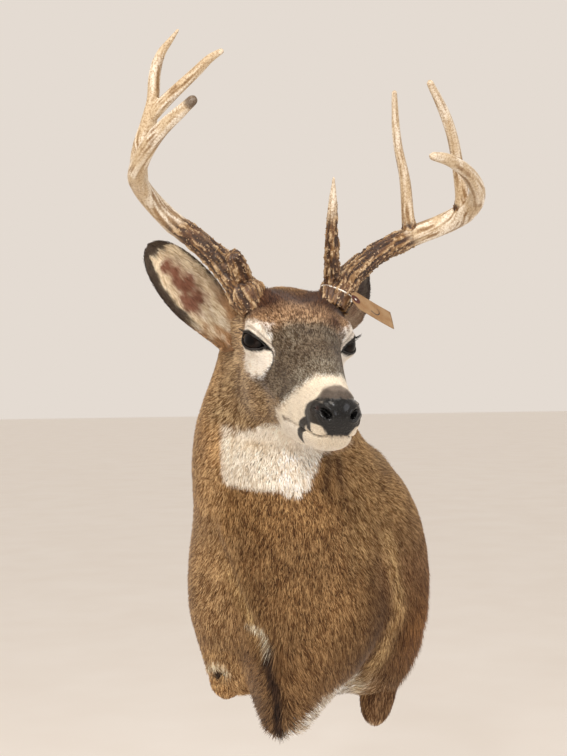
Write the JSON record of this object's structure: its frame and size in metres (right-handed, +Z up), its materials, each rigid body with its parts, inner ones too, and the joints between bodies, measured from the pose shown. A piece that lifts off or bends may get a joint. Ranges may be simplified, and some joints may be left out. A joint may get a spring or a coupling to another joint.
{
  "type": "whitetail buck shoulder mount",
  "caption": "Taxidermy shoulder mount of a whitetail buck with turned head, branched antlers, cut foreleg stubs and a paper tag tied to one antler, made to hang on a wall.",
  "frame": {"origin": "on the wall plane, on the back face of the board, on the mount's centre line and 12 mm below the board's middle", "axes": "+Z up, +Y into the wall so that -Y is out into the room, +X the deer's left"},
  "size_m": [0.4314, 0.4721, 0.8584],
  "materials": {
    "coat": "short brown winter coat with white throat, muzzle band and eye rings",
    "nose_skin": "black pebbled nose pad, lip and eyelid skin, satin",
    "eye_glass": "dark glossy glass eye",
    "antler": "dry bone, rough dark brown at the base and tan towards the tips",
    "tag_card": "matt manila card",
    "string": "thin white string",
    "board": "plain unfinished wood"
  },
  "bodies": {
    "root": {"head": "coat", "neck": "coat", "trunk": "coat", "leg_stub_right": "coat", "leg_stub_left": "coat", "ear_right": "coat", "ear_left": "coat", "eye_left": "eye_glass", "eye_right": "eye_glass", "antler_right_beam_lower": "antler", "antler_right_beam_end": "antler", "antler_right_g1": "antler", "antler_right_g2": "antler", "antler_right_g3": "antler", "antler_left_beam_lower": "antler", "antler_left_beam_end": "antler", "antler_left_g1": "antler", "antler_left_g2": "antler", "antler_left_g3": "antler", "tag": "tag_card", "tag_string": "string", "back_board": "board"}
  },
  "joints": []
}
